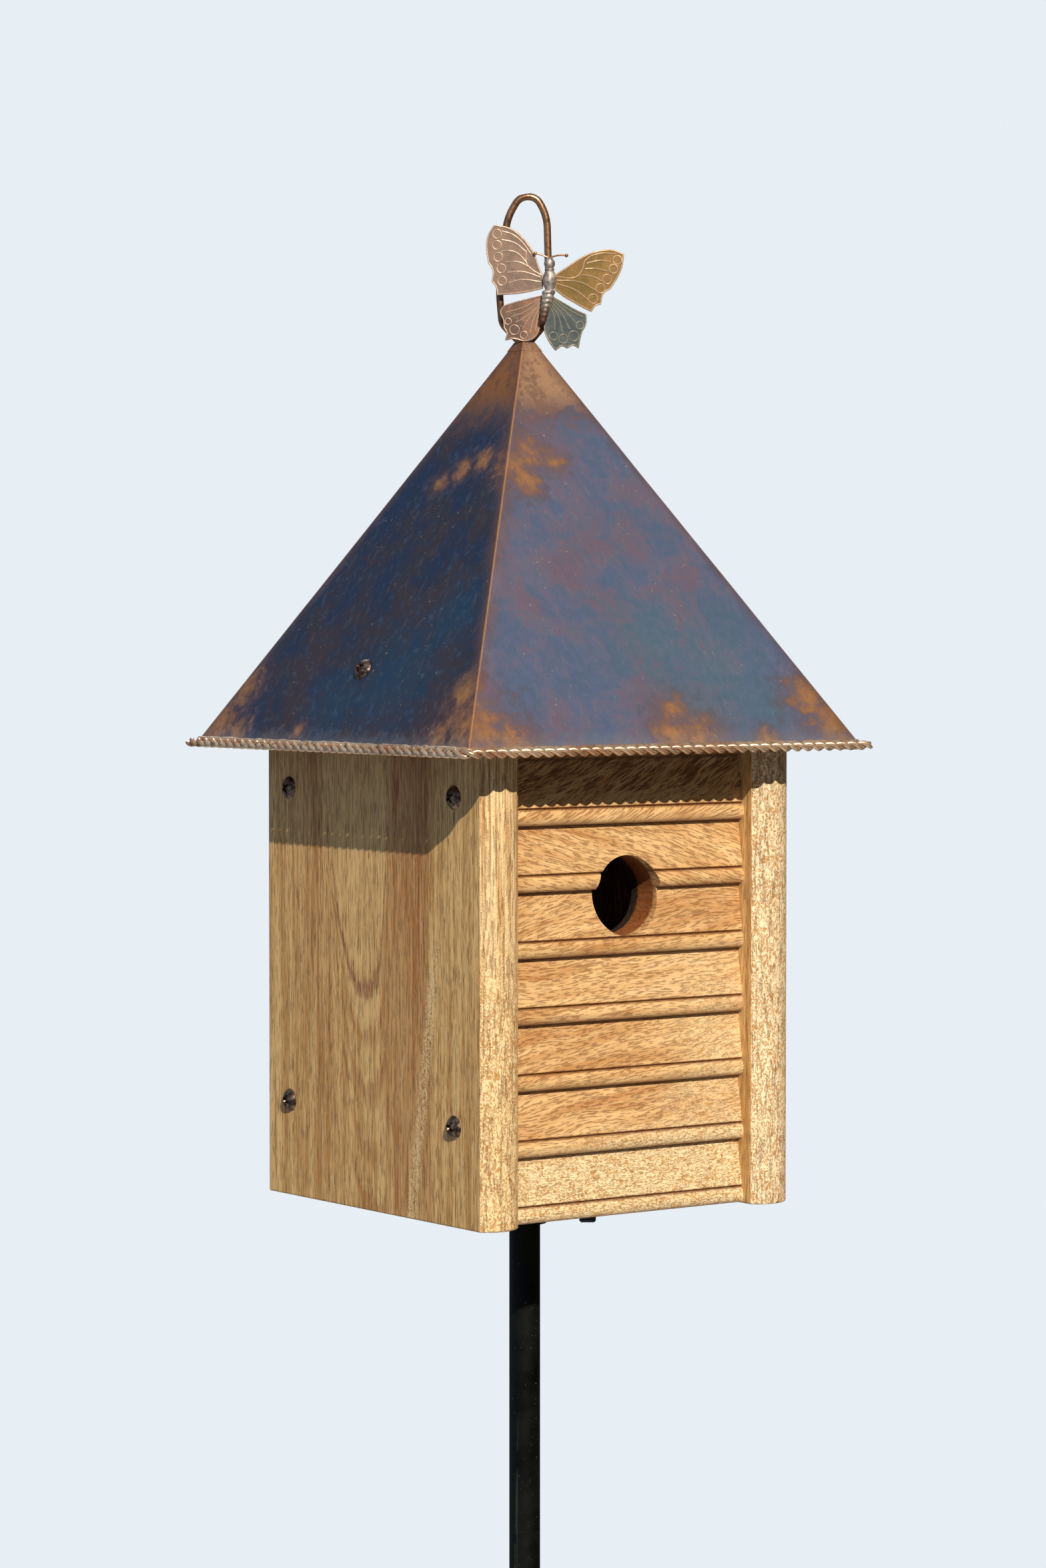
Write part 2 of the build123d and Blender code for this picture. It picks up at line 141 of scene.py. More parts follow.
# shader helpers
class Wire:
    # a socket that can be used in sums
    def __init__(self, tree, socket):
        self.tree = tree
        self.socket = socket

    def join(self, operation, first, second=0.0):
        made = self.tree.nodes.new("ShaderNodeMath")
        made.operation = operation
        for number, value in enumerate((first, second)):
            if isinstance(value, Wire):
                self.tree.links.new(value.socket, made.inputs[number])
            else:
                made.inputs[number].default_value = value
        return Wire(self.tree, made.outputs[0])

    def __add__(self, other):
        return self.join("ADD", self, other)

    def __radd__(self, other):
        return self.join("ADD", other, self)

    def __sub__(self, other):
        return self.join("SUBTRACT", self, other)

    def __rsub__(self, other):
        return self.join("SUBTRACT", other, self)

    def __mul__(self, other):
        return self.join("MULTIPLY", self, other)

    def __rmul__(self, other):
        return self.join("MULTIPLY", other, self)

    def __truediv__(self, other):
        return self.join("DIVIDE", self, other)

    def __abs__(self):
        return self.join("ABSOLUTE", self)

    def biggest(self, other):
        return self.join("MAXIMUM", self, other)

    def least(self, other):
        return self.join("MINIMUM", self, other)

    def floor(self):
        return self.join("FLOOR", self)

    def sine(self):
        return self.join("SINE", self)

    def sign(self):
        return self.join("SIGN", self)


class Finish:
    # one material: its node tree and the few patterns that every finish is made of
    def __init__(self, name):
        self.material = bpy.data.materials.new(name)
        self.material.use_nodes = True
        self.tree = self.material.node_tree
        self.tree.nodes.clear()
        self.shader = self.tree.nodes.new("ShaderNodeBsdfPrincipled")
        out = self.tree.nodes.new("ShaderNodeOutputMaterial")
        self.tree.links.new(self.shader.outputs[0], out.inputs["Surface"])
        self.place = self.node("TexCoord", out="Object")
        spread = self.node("SeparateXYZ", {}, {0: self.place}, out=None)
        self.x, self.y, self.z = [Wire(self.tree, spread.outputs[axis]) for axis in range(3)]

    def node(self, kind, settings=None, values=None, out=0):
        made = self.tree.nodes.new("ShaderNode" + kind)
        for name, value in (settings or {}).items():
            if name == "stops":
                ramp = made.color_ramp
                while len(ramp.elements) < len(value):
                    ramp.elements.new(1.0)
                for element, (at, color) in zip(ramp.elements, value):
                    element.position = at
                    element.color = (*color, 1)
            else:
                setattr(made, name, value)
        for name, value in (values or {}).items():
            if isinstance(value, Wire):
                self.tree.links.new(value.socket, made.inputs[name])
            elif isinstance(value, tuple) and len(value) == 3 and made.inputs[name].type == "RGBA":
                made.inputs[name].default_value = (*value, 1)
            else:
                made.inputs[name].default_value = value
        if out is None:
            return made
        return Wire(self.tree, made.outputs[out])

    def at(self, x, y, z):
        return self.node("CombineXYZ", {}, {0: x, 1: y, 2: z})

    def stretched(self, scale, turn=(0, 0, 0), shift=(0, 0, 0), place=None):
        return self.node("Mapping", {}, {"Vector": place or self.place, "Scale": scale,
                                         "Rotation": turn, "Location": shift})

    def cloud(self, place, scale, detail=2.0, rough=0.5, twist=0.0):
        return self.node("TexNoise", {}, {"Vector": place, "Scale": scale, "Detail": detail,
                                          "Roughness": rough, "Distortion": twist})

    def level(self, value, low, high, start=0.0, end=1.0):
        return self.node("MapRange", {"interpolation_type": "SMOOTHSTEP"},
                         {"Value": value, "From Min": low, "From Max": high,
                          "To Min": start, "To Max": end})

    def ramp(self, value, stops, way="LINEAR"):
        made = self.node("ValToRGB", {"stops": stops}, {0: value}, out=None)
        made.color_ramp.interpolation = way
        return Wire(self.tree, made.outputs[0])

    def mix(self, factor, first, second, way="MIX"):
        return self.node("Mix", {"data_type": "RGBA", "blend_type": way},
                         {0: factor, 6: first, 7: second}, out=2)

    def blots(self, place, spots):
        # distance to the nearest blot, counted in its own radii
        nearest = None
        for point, radius in spots:
            away = self.node("VectorMath", {"operation": "DISTANCE"}, {0: place, 1: point}, out="Value")
            away = away / radius
            nearest = away if nearest is None else nearest.least(away)
        return nearest

    def bump(self, height, depth, strength=1.0):
        normal = self.node("Bump", {}, {"Height": height, "Distance": depth, "Strength": strength})
        self.tree.links.new(normal.socket, self.shader.inputs["Normal"])

    def set(self, **values):
        for name, value in values.items():
            socket = self.shader.inputs[name.replace("_", " ")]
            if isinstance(value, Wire):
                self.tree.links.new(value.socket, socket)
            elif isinstance(value, tuple):
                socket.default_value = (*value, 1)
            else:
                socket.default_value = value


def dress(names, finish):
    for name in names:
        piece = nodes[name]
        piece.data.materials.clear()
        piece.data.materials.append(finish.material)


# wood
sideWood = {
    "light": (0.77, 0.485, 0.195), "tan": (0.51, 0.260, 0.066), "red": (0.37, 0.128, 0.022),
    "line": (0.22, 0.050, 0.010), "pore": (0.17, 0.065, 0.020),
    "flashLight": (0.95, 0.70, 0.37), "flashDark": (0.56, 0.29, 0.10),
    "flashPale": (0.98, 0.80, 0.51), "fibre": (0.86, 0.58, 0.27),
    # the arches' tips and how fast they open, then the red stripe and the mottled stripe
    "tipY": 5 * mm, "tipZ": 105 * mm, "tipRise": 34 * mm, "openness": 5600,
    "stripeY": -34 * mm, "flashY": -50 * mm, "flashZ": 100 * mm,
}
frontWood = {
    "light": (0.80, 0.505, 0.225), "tan": (0.64, 0.36, 0.140), "red": (0.50, 0.215, 0.065),
    "pore": (0.27, 0.100, 0.028), "flashLight": (0.97, 0.78, 0.47), "flashDark": (0.54, 0.29, 0.10),
    # the crevice colour darkens the long pores on the top course and is also the painted shade along the
    # beads
    "pale": (0.90, 0.63, 0.33), "poreAndShade": (0.22, 0.075, 0.018), "quirkAt": 7.7 * mm,
    "coursePitch": 30.6 * mm, "base": 0.6 * mm,
    # how steeply the grain runs on each course, from the bottom up
    "slants": (0.02, 0.10, 0.14, 0.06, 0.10, -0.28, 0.48, 0.48),
    # the wall of the entry hole: where it starts behind the front edges, and where its painted shade
    # begins
    "holeMouth": 11.5 * mm, "holeShadeFrom": 23.1 * mm,
    # two darker browns for the wall of the hole, then soot, which is painted shade for the deep part of
    # the hole
    "wallDeepBrown": (0.165, 0.044, 0.012), "wallRedBrown": (0.41, 0.145, 0.040), "holeShade": (0.030, 0.016, 0.009),
}


def squiggles(finish, place, stretch):
    # cream and orange worm-like figure, 2 to 3 mm long
    turned = finish.stretched(stretch, place=place)
    worms = finish.cloud(turned, 520, 1.5, 0.5, 1.6)
    fine = finish.cloud(turned, 1300, 2.0, 0.6, 0.8)
    ridge = abs(worms - 0.5) * 7.0
    return finish.level(ridge + (fine - 0.5) * 0.8, 0.12, 0.95, 1.0, 0.0)


def sideBoardWood(settings, name, side):
    f = Finish(name)
    height = f.z - boxBase
    wander = f.cloud(f.stretched((0.4, 14, 4)), 1.0, 3.0, 0.55)
    bands = f.cloud(f.stretched((8, 40, 2.2), shift=(side, 0.31, 0)), 1.0, 3.0, 0.6)
    streaks = f.cloud(f.stretched((60, 330, 11)), 1.0, 4.0, 0.62)
    fibres = f.cloud(f.stretched((260, 1100, 60)), 1.0, 3.0, 0.6)
    ripple = f.cloud(f.stretched((200, 620, 190)), 1.0, 3.0, 0.6)
    # cathedral figure: nested arches with their tips down
    tipZ = settings["tipZ"] if side < 0 else settings["tipZ"] + settings["tipRise"]
    across = abs(f.y + settings["tipY"] * side - (height - tipZ) * 0.07 + (wander - 0.5) * 0.014)
    arch = height - tipZ - across * across * across * settings["openness"]
    arch = arch + (streaks - 0.5) * 0.022 + (ripple - 0.5) * 0.010
    inside = f.level(arch, -0.001, 0.010)
    line = f.level(abs(arch + 0.001), 0.0012, 0.0056, 1.0, 0.0)
    rings = f.level((arch * 230 + (wander - 0.5) * 6).sine(), -0.2, 0.95)
    outside = f.level(arch, -0.34, -0.004) * (1 - inside)
    under = f.level(abs(arch + 0.012), 0.004, 0.011, 1.0, 0.0) * f.level(across, 0.008, 0.024, 1.0, 0.0)
    red = f.level(bands, 0.47, 0.62) * (1 - inside * 0.8)
    broad = f.level(abs(f.y - settings["stripeY"] + (wander - 0.5) * 0.02), 0.010, 0.020, 1.0, 0.0)
    broad = broad * f.level(height, 0.02, 0.10, 0.45, 1.0)
    red = (red * 0.60 + broad * 1.0 + rings * outside * 0.80).least(1.0)
    pale = f.level(streaks + (ripple - 0.5) * 0.3, 0.38, 0.60)
    color = f.mix(pale, settings["tan"], settings["light"])
    color = f.mix(inside * 0.50, color, settings["light"])
    color = f.mix(red * f.level(streaks, 0.30, 0.66, 1.0, 0.45), color, settings["red"])
    color = f.mix(under * 0.75, color, settings["light"])
    lineMask = line * f.level(height, 0.22, 0.14) * 0.95
    color = f.mix(lineMask * f.level(ripple, 0.34, 0.62, 1.0, 0.65), color, settings["line"])
    pores = f.cloud(f.stretched((700, 1500, 95)), 1.0, 1.0, 0.5)
    pores = f.level(pores, 0.55, 0.64)
    color = f.mix(pores * 0.62, color, settings["pore"])
    color = f.mix(f.level(fibres, 0.42, 0.64) * 0.30, color, settings["fibre"])
    # bullnose front edge with its bright mottled figure
    nose = f.level(f.y, frontArris - 0.0004, frontArris + 0.0004, 1.0, 0.0)
    worms = squiggles(f, f.place, (1.0, 1.0, 0.62))
    stripe = f.y - settings["flashY"] - (settings["flashZ"] - height) * 0.16 + (wander - 0.5) * 0.006
    stripe = f.level(abs(stripe), 0.0015, 0.0065, 1.0, 0.0) * f.level(height, 0.15, 0.11)
    stripe = stripe * f.level(worms + (fibres - 0.5), 0.25, 0.80)
    color = f.mix(stripe * 0.65, color, settings["flashLight"])
    straight = f.level(f.cloud(f.stretched((900, 500, 16)), 1.0, 3.0, 0.6), 0.40, 0.60)
    # the figure gives way to straight grain further up
    if side < 0:
        topShare = f.level(height + (wander - 0.5) * 0.10, 0.09, 0.17)
    else:
        topShare = f.level(height, 0.215, 0.235)
    figure = worms + (straight - worms) * topShare
    noseLight = settings["flashLight"] if side < 0 else settings["flashPale"]
    noseColor = f.mix(figure, settings["flashDark"], noseLight)
    noseColor = f.mix(pores * 0.45, noseColor, settings["pore"])
    color = f.mix(nose, color, noseColor)
    f.set(Base_Color=color, Roughness=f.level(streaks, 0.2, 0.8, 0.52, 0.68) - nose * 0.08)
    f.bump(fibres * 0.5 + streaks * 0.4 - pores * 0.9 + nose * worms * 0.5, 0.00035, 0.9)
    return f


def frontBoardWood(settings, name):
    f = Finish(name)
    height = f.z - boxBase
    course = ((height - settings["base"]) / settings["coursePitch"]).floor()
    count = len(settings["slants"])
    stops = [(step / count, (slant + 0.5,) * 3) for step, slant in enumerate(settings["slants"])]
    slope = f.ramp((course + 0.5) / count, stops, "CONSTANT") - 0.5
    drift = f.cloud(f.stretched((10, 6, 22)), 1.0, 2.0, 0.5)
    lean = slope + (drift - 0.5) * 0.5
    across = height - f.x * lean + course * 0.7 * mm
    grain = f.at(f.x, f.y + course * 0.013, across)
    bands = f.cloud(f.stretched((11, 5, 62), place=grain), 1.0, 3.0, 0.6)
    streaks = f.cloud(f.stretched((22, 60, 360), place=grain), 1.0, 4.0, 0.65)
    fibres = f.cloud(f.stretched((60, 300, 1300), place=grain), 1.0, 3.0, 0.6)
    pores = f.cloud(f.stretched((190, 260, 1700), place=grain), 1.0, 1.5, 0.5)
    pores = f.level(pores, 0.53, 0.62)
    color = f.mix(f.level(streaks, 0.38, 0.60), settings["tan"], settings["light"])
    red = f.level(bands, 0.47, 0.66) * f.level(streaks, 0.30, 0.70, 0.85, 0.45)
    color = f.mix(red, color, settings["red"])
    color = f.mix(f.level(bands, 0.44, 0.32) * 0.5, color, settings["pale"])
    topCourse = f.level(height, 0.198, 0.200)
    color = f.mix(pores * (topCourse * 0.33 + 0.62), color, settings["pore"])
    longPores = f.level(f.cloud(f.stretched((70, 260, 560), place=grain), 1.0, 2.0, 0.6), 0.52, 0.60)
    color = f.mix(longPores * topCourse * 0.8, color, settings["poreAndShade"])
    # mottled figure on the bottom course and toward the lower right
    worms = squiggles(f, f.place, (0.55, 1.0, 1.0))
    low = f.level(height + (drift - 0.5) * 0.02 - f.x * 0.12, 0.030, 0.046, 1.0, 0.0)
    middle = f.level(f.x + (drift - 0.5) * 0.08, 0.01, 0.045) * f.level(height, 0.13, 0.10) * 0.5
    figured = low.biggest(middle)
    color = f.mix(figured * 0.85, color, f.mix(worms, settings["flashDark"], settings["flashLight"]))
    # painted shade in the quirk above each bead, under its lower edge and at its foot
    pitch = settings["coursePitch"]
    phase = height - settings["base"] - course * pitch
    quirkShade = f.level(abs(phase - settings["quirkAt"]), 0.0003, 0.0013, 0.80, 0.0)
    under = f.level(phase, pitch - 0.0016, pitch - 0.0002, 0.0, 0.75)
    footShade = f.level(phase, 0.0, 0.0016, 0.65, 0.0)
    color = f.mix(quirkShade.biggest(under).biggest(footShade), color, settings["poreAndShade"])
    # a darker, redder brown on the wall of the hole, going over to painted shade further in
    mouth = frontArris + settings["holeMouth"]
    deep = f.level(f.y, mouth, mouth + 0.0015)
    color = f.mix(deep, color, f.mix(streaks, settings["wallDeepBrown"], settings["wallRedBrown"]))
    # painted shade deep in the hole: the wall turns nearly black toward the inside of the board
    dark = frontArris + settings["holeShadeFrom"]
    innerShade = f.level(f.y + (streaks - 0.5) * 0.003, dark, dark + 0.002)
    color = f.mix(innerShade, color, settings["holeShade"])
    f.set(Base_Color=color, Roughness=f.level(streaks, 0.2, 0.8, 0.50, 0.66))
    f.bump(fibres * 0.5 + streaks * 0.3 - pores * 1.0 + figured * worms * 0.35, 0.0003, 0.9)
    return f


def plainBoardWood(name):
    # floor, back board and cleats: the same timber, sawn plain
    f = Finish(name)
    streaks = f.cloud(f.stretched((70, 90, 60)), 1.0, 4.0, 0.6, 0.4)
    bands = f.cloud(f.stretched((6, 60, 34)), 1.0, 3.0, 0.6)
    fibres = f.cloud(f.stretched((38, 900, 900)), 1.0, 3.0, 0.6)
    pores = f.level(f.cloud(f.stretched((110, 900, 900)), 1.0, 1.0, 0.5), 0.58, 0.68)
    color = f.mix(f.level(fibres, 0.3, 0.7), sideWood["tan"], sideWood["light"])
    color = f.mix(f.level(bands, 0.45, 0.65) * 0.7, color, sideWood["red"])
    color = f.mix(pores * 0.7, color, sideWood["pore"])
    f.set(Base_Color=color, Roughness=f.level(streaks, 0.3, 0.7, 0.55, 0.72))
    f.bump(fibres * 0.6 + streaks * 0.3 - pores * 0.8, 0.0004, 0.9)
    return f


# copper and steel
roofSet = {
    "navy": (0.016, 0.034, 0.088), "ink": (0.030, 0.036, 0.058), "deepTeal": (0.018, 0.058, 0.120),
    "slate": (0.108, 0.145, 0.250), "dove": (0.165, 0.155, 0.225), "plum": (0.165, 0.115, 0.165),
    "sidePlum": (0.056, 0.038, 0.054), "teal": (0.098, 0.165, 0.230), "bronze": (0.40, 0.185, 0.072),
    "orange": (0.62, 0.285, 0.085), "rust": (0.165, 0.088, 0.072), "tipFront": (0.66, 0.38, 0.22),
    "tipSide": (0.44, 0.17, 0.055), "cream": (0.58, 0.44, 0.31), "haze": (0.27, 0.27, 0.29),
    "sheet": 1.0 * mm, "softness": 0.7 * mm, "wave": 0.22 * mm, "rows": 47, "columns": 23,
    # blots on the front and left faces: along the face, height above the box base, radius
    "frontBronze": [(-0.034, 0.353, 0.0100), (-0.022, 0.358, 0.0090), (-0.030, 0.345, 0.0080),
                    (-0.010, 0.354, 0.0070), (0.004, 0.227, 0.0100), (0.018, 0.224, 0.0130),
                    (0.009, 0.236, 0.0080), (-0.106, 0.230, 0.0140), (-0.088, 0.224, 0.0110),
                    (0.105, 0.231, 0.0170), (0.094, 0.243, 0.0120), (0.060, 0.222, 0.0060)],
    "leftBronze": [(-0.103, 0.232, 0.0170), (-0.086, 0.224, 0.0110), (-0.092, 0.246, 0.0080),
                   (0.104, 0.230, 0.0160), (0.094, 0.246, 0.0110), (0.084, 0.224, 0.0080),
                   (-0.004, 0.350, 0.0055), (-0.017, 0.354, 0.0050), (0.010, 0.344, 0.0052),
                   (0.030, 0.226, 0.0040)],
    "frontTeal": [(0.042, 0.256, 0.026), (0.012, 0.268, 0.020), (0.022, 0.240, 0.018),
                  (0.064, 0.240, 0.014)],
    "leftTeal": [(-0.030, 0.252, 0.028), (-0.052, 0.280, 0.018), (0.010, 0.238, 0.018)],
}


def roofFinish(settings):
    f = Finish("flamedCopper")
    height = f.z - boxBase
    # the back and right faces take the blots of the front and left ones
    fold = (f.x + f.y).sign() * -1
    folded = f.at(f.x * fold, f.y * fold, height)

    def blotsOn(kind):
        spots = []
        for along, level, radius in settings[kind]:
            reach = eaveHalf - (level - (eaveZ - boxBase)) / tan(roofSlope)
            spot = (along, -reach, level) if kind.startswith("front") else (-reach, along, level)
            spots.append((spot, radius))
        return f.blots(folded, spots)

    big = f.cloud(f.place, 17, 2.0, 0.5, 0.5)
    cloudy = f.cloud(f.stretched((1, 1, 0.7)), 48, 5.0, 0.65, 0.5)
    small = f.cloud(f.place, 210, 4.0, 0.68, 0.3)
    washed = f.cloud(f.stretched((330, 330, 60)), 1.0, 3.0, 0.6)
    grit = f.cloud(f.place, 1700, 2.0, 0.6)
    ragged = (cloudy - 0.5) * 2.6 + (small - 0.5) * 3.2
    # the front and back faces are paler than the left and right
    flank = f.level(abs(f.x) - abs(f.y), -0.0004, 0.0004)
    front = f.mix(f.level(cloudy + (big - 0.5) * 0.6, 0.36, 0.64), settings["slate"], settings["dove"])
    mottle = big + (cloudy - 0.5) * 0.9 + (small - 0.5) * 0.9
    front = f.mix(f.level(mottle, 0.36, 0.78) * 0.80, front, settings["plum"])
    teal = f.level(blotsOn("frontTeal") + ragged * 0.6, 0.0, 2.0, 0.75, 0.0)
    front = f.mix(teal, front, settings["teal"])
    front = f.mix(f.level(small + (cloudy - 0.5) * 0.4, 0.46, 0.34) * 0.35, front, settings["teal"])
    front = f.mix(f.level(small + (big - 0.5) * 0.4, 0.54, 0.68) * 0.35, front, settings["plum"])
    side = f.mix(f.level(cloudy + (big - 0.5) * 0.6, 0.38, 0.64), settings["navy"], settings["ink"])
    side = f.mix(f.level(mottle, 0.40, 0.80) * 0.85, side, settings["sidePlum"])
    deepTeal = f.level(blotsOn("leftTeal") + ragged * 0.6, 0.0, 2.0, 0.75, 0.0)
    side = f.mix(deepTeal, side, settings["deepTeal"])
    side = f.mix(f.level(small, 0.46, 0.30) * 0.30, side, settings["slate"])
    color = f.mix(flank, front, side)
    color = f.mix(f.level(washed, 0.52, 0.72) * 0.10, color, settings["haze"])
    # heat-bright blots with a rusty fringe
    bright = blotsOn("frontBronze").least(blotsOn("leftBronze")) + ragged
    color = f.mix(f.level(bright, 0.5, 2.2, 0.65, 0.0), color, settings["rust"])
    color = f.mix(f.level(bright, -0.1, 1.3, 0.85, 0.0), color, settings["bronze"])
    color = f.mix(f.level(bright, -0.9, 0.5, 0.60, 0.0), color, settings["orange"])
    # coppery tip
    bandLevel = height + ragged * 0.0065
    fringe = f.level(bandLevel, 0.364, 0.384)
    color = f.mix(fringe * 0.70, color, settings["rust"])
    band = f.level(bandLevel, 0.376, 0.390)
    tip = f.mix(flank, settings["tipFront"], settings["tipSide"])
    tip = f.mix(f.level(small + (cloudy - 0.5) * 0.8, 0.46, 0.66) * 0.65, tip, settings["rust"])
    color = f.mix(band * 0.92, color, tip)
    # haze just above the rope, bright metal along the hips, fine specks
    haze = f.level(height + (small - 0.5) * 0.018, 0.221, 0.230, 0.30, 0.0)
    color = f.mix(haze, color, settings["haze"])
    offHip = abs(abs(f.x) - abs(f.y))
    nearHip = f.level(offHip + (cloudy - 0.5) * 0.020, -0.002, 0.008, 0.65, 0.0)
    color = f.mix(nearHip, color, settings["rust"])
    hip = f.level(offHip + (small - 0.5) * 0.0014, 0.0000, 0.0010, 0.65, 0.0)
    color = f.mix(hip, color, settings["orange"])
    specks = f.level(f.cloud(f.place, 620, 1.0, 0.5), 0.735, 0.76)
    color = f.mix(specks * f.level(cloudy, 0.42, 0.58) * 0.5, color, settings["cream"])
    f.set(Base_Color=color, Metallic=f.level(band + hip, 0.0, 1.0, 0.40, 0.65),
          Roughness=f.level(small + (cloudy - 0.5) * 0.5, 0.3, 0.7, 0.42, 0.56))
    f.bump(cloudy * 1.2 + small * 0.4 + grit * 0.05, 0.0006, 0.5)
    return f


rodSet = {"low": (0.050, 0.032, 0.040), "middle": (0.27, 0.115, 0.065), "high": (0.56, 0.30, 0.15),
          "patch": 60, "mottle": 320, "metallic": 0.85, "rough": 0.32, "relief": 0.10 * mm}
ropeTone = {"low": (0.09, 0.050, 0.035), "middle": (0.64, 0.37, 0.22), "high": (0.84, 0.62, 0.42),
            "patch": 40, "mottle": 300, "metallic": 0.75, "rough": 0.38, "relief": 0.15 * mm}


def copperFinish(name, settings):
    # aged copper wire: dark hollows, brown body, bright rubbed tops
    f = Finish(name)
    big = f.cloud(f.place, settings["patch"], 3.0, 0.55, 0.4)
    small = f.cloud(f.place, settings["mottle"], 3.0, 0.6, 0.4)
    fine = f.cloud(f.place, settings["mottle"] * 6, 2.0, 0.6)
    color = f.mix(f.level(big + (small - 0.5) * 0.6, 0.36, 0.62), settings["middle"], settings["high"])
    color = f.mix(f.level(small + (fine - 0.5) * 0.3, 0.50, 0.68) * 0.7, color, settings["low"])
    f.set(Base_Color=color, Metallic=settings["metallic"],
          Roughness=f.level(small, 0.3, 0.7, settings["rough"] - 0.08, settings["rough"] + 0.1))
    f.bump(small * 0.6 + fine * 0.3, settings["relief"], 0.6)
    return f


def wingFinish(name, field, rim, shade, accent):
    f = Finish(name)
    big = f.cloud(f.place, 60, 3.0, 0.55, 0.5)
    small = f.cloud(f.place, 420, 3.0, 0.6, 0.4)
    fine = f.cloud(f.place, 1800, 2.0, 0.6)
    color = f.mix(f.level(big + (small - 0.5) * 0.5, 0.38, 0.64), field, shade)
    color = f.mix(f.level(small, 0.52, 0.70) * 0.6, color, accent)
    raised = f.node("Attribute", {"attribute_name": "raised"}, {}, out="Fac")
    color = f.mix(raised * f.level(small, 0.3, 0.7, 1.0, 0.65), color, rim)
    f.set(Base_Color=color, Metallic=0.6, Roughness=f.level(small, 0.3, 0.7, 0.50, 0.64))
    f.bump(small * 0.6 + fine * 0.4, 0.0002, 0.7)
    return f


steelSet = {"black": (0.0010, 0.0014, 0.0012), "dusty": (0.0038, 0.0048, 0.0042),
            "rubbed": (0.10, 0.11, 0.10), "chipped": (0.14, 0.15, 0.14)}
screwSet = {"dark": (0.075, 0.05, 0.04), "worn": (0.34, 0.22, 0.15)}


def blackSteel(settings):
    f = Finish("blackSteel")
    along = f.stretched((260, 260, 3.5))
    rubs = f.cloud(along, 1.0, 3.0, 0.6)
    chips = f.cloud(f.place, 900, 2.0, 0.5)
    dust = f.cloud(f.place, 60, 3.0, 0.6)
    scratch = f.level(rubs, 0.63, 0.70) * f.level(dust, 0.45, 0.6)
    color = f.mix(f.level(dust, 0.35, 0.7), settings["black"], settings["dusty"])
    color = f.mix(scratch * 0.30, color, settings["rubbed"])
    color = f.mix(f.level(chips, 0.70, 0.74) * 0.4, color, settings["chipped"])
    f.set(Base_Color=color, Roughness=f.level(dust, 0.3, 0.7, 0.40, 0.56), Specular_IOR_Level=0.14)
    f.bump(chips * 0.4 + rubs * 0.4, 0.00015, 0.6)
    return f


def screwBronze(settings):
    f = Finish("screwBronze")
    worn = f.cloud(f.place, 500, 3.0, 0.6, 0.5)
    fine = f.cloud(f.place, 2400, 2.0, 0.6)
    color = f.mix(f.level(worn, 0.40, 0.66), settings["dark"], settings["worn"])
    rough = f.level(worn + (fine - 0.5) * 0.4, 0.3, 0.7, 0.26, 0.44)
    f.set(Base_Color=color, Metallic=0.9, Roughness=rough)
    f.bump(worn * 0.5 + fine * 0.3, 0.0001, 0.7)
    return f


# mesh helpers
def addPiece(name, mesh, finish, body, replaced=(), sharp=38):
    for face in mesh.polygons:
        face.use_smooth = True
    mesh.set_sharp_from_angle(angle=radians(sharp))
    mesh.materials.clear()
    mesh.materials.append(finish.material)
    piece = bpy.data.objects.new(name, mesh)
    bpy.context.scene.collection.objects.link(piece)
    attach(piece, body)
    if replaced:
        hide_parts(*replaced)
    print("made", name, len(mesh.polygons), "faces")


def meshOf(bm, name, merge=True):
    if merge:
        bmesh.ops.remove_doubles(bm, verts=bm.verts, dist=1e-6)
        bmesh.ops.recalc_face_normals(bm, faces=bm.faces)
    mesh = bpy.data.meshes.new(name)
    bm.to_mesh(mesh)
    bm.free()
    return mesh


def curveMesh(runs, depth=0.0, sides=2, closed=False, flat=0.0, kind="BEZIER", steps=6):
    # a curve through the points of each run, made a mesh
    data = bpy.data.curves.new("line", "CURVE")
    data.dimensions = "2D" if flat else "3D"
    data.fill_mode = "BOTH" if flat else "FULL"
    data.bevel_depth = depth
    data.bevel_resolution = sides
    data.use_fill_caps = True
    data.resolution_u = steps
    data.extrude = flat
    for run in runs:
        if kind == "BEZIER":
            spline = data.splines.new("BEZIER")
            spline.bezier_points.add(len(run) - 1)
            for knot, (point, corner) in zip(spline.bezier_points, run):
                knot.co = point
                handle = "VECTOR" if corner else "AUTO"
                knot.handle_left_type = handle
                knot.handle_right_type = handle
        else:
            spline = data.splines.new("POLY")
            spline.points.add(len(run) - 1)
            for knot, (point, thickness) in zip(spline.points, run):
                knot.co = (*point, 1)
                knot.radius = thickness
        spline.use_cyclic_u = closed
    holder = bpy.data.objects.new("line", data)
    bpy.context.scene.collection.objects.link(holder)
    bpy.context.view_layer.update()
    mesh = bpy.data.meshes.new_from_object(holder.evaluated_get(bpy.context.evaluated_depsgraph_get()))
    bpy.data.objects.remove(holder)
    return mesh


def evenly(points, spacing):
    # points a fixed distance apart along a chain of points
    out = [points[0]]
    left = spacing
    for start, end in zip(points, points[1:]):
        step = end - start
        length = step.length
        done = 0.0
        while length - done >= left:
            done += left
            out.append(start + step * (done / length))
            left = spacing
        left -= length - done
    return out


# roof sheet
def climb(edge):
    # height between the ends of an edge
    return abs(edge.verts[0].co.z - edge.verts[1].co.z)


